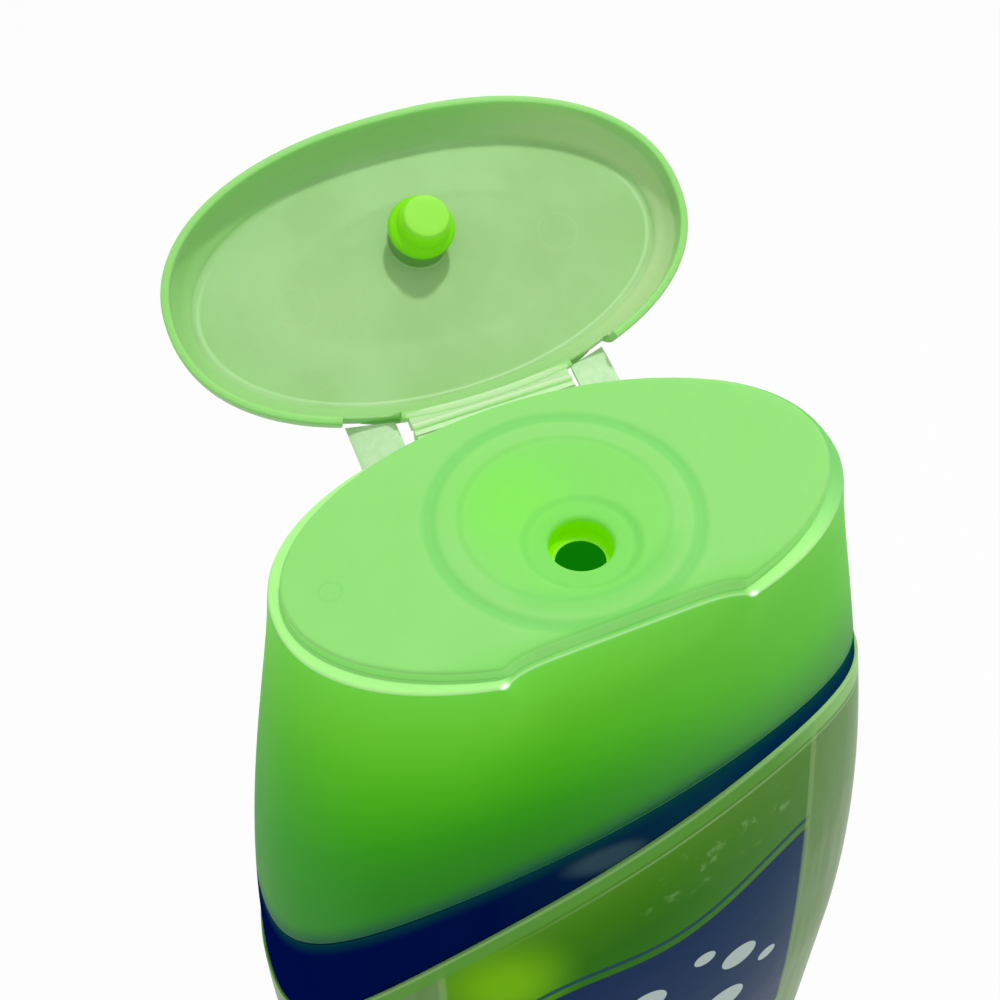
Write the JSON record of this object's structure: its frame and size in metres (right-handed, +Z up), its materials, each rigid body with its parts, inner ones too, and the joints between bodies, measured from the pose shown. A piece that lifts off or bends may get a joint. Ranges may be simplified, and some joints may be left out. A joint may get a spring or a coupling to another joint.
{
  "type": "body wash bottle",
  "caption": "Oval body wash bottle with a flared translucent flip-top cap, its lid open on a film hinge with side straps, and a wrap-round label.",
  "frame": {"origin": "middle of the base on the surface the bottle stands on", "axes": "+Z up, +X across the width along the hinge line, front of the bottle to -Y, lid hinged at the rear"},
  "size_m": [0.0908, 0.0795, 0.2142],
  "materials": {
    "bottle_plastic": "glossy blow-moulded dark blue plastic",
    "cap_plastic": "satin translucent green polypropylene",
    "lid_plastic": "satin translucent green polypropylene",
    "strap_plastic": "thin translucent polypropylene",
    "label_film": "glossy printed film in fields of green and dark blue"
  },
  "bodies": {
    "body": {"bottle": "bottle_plastic", "cap_base": "cap_plastic", "label": "label_film"},
    "lid": {"lid": "lid_plastic"},
    "left_strap": {"left_hinge_strap": "strap_plastic"},
    "right_strap": {"right_hinge_strap": "strap_plastic"}
  },
  "joints": [
    {"name": "lid_hinge", "type": "hinge", "parent": "body", "child": "lid", "pos_m": [0, 0.01905, 0.19605], "axis": [1, 0, 0], "range_deg": [0, 151]},
    {"name": "left_strap_hinge", "type": "hinge", "parent": "body", "child": "left_strap", "pos_m": [-0.0109, 0.0172, 0.19366], "axis": [0.8862, 0.2836, 0.3663], "range_deg": [0, 82.3]},
    {"name": "right_strap_hinge", "type": "hinge", "parent": "body", "child": "right_strap", "pos_m": [0.0109, 0.0172, 0.19366], "axis": [0.8862, -0.2836, -0.3663], "range_deg": [0, 82.3]}
  ],
  "couplings": [
    {"joint": "left_strap_hinge", "follows": "lid_hinge", "ratio": 0.54494},
    {"joint": "right_strap_hinge", "follows": "lid_hinge", "ratio": 0.54494}
  ]
}
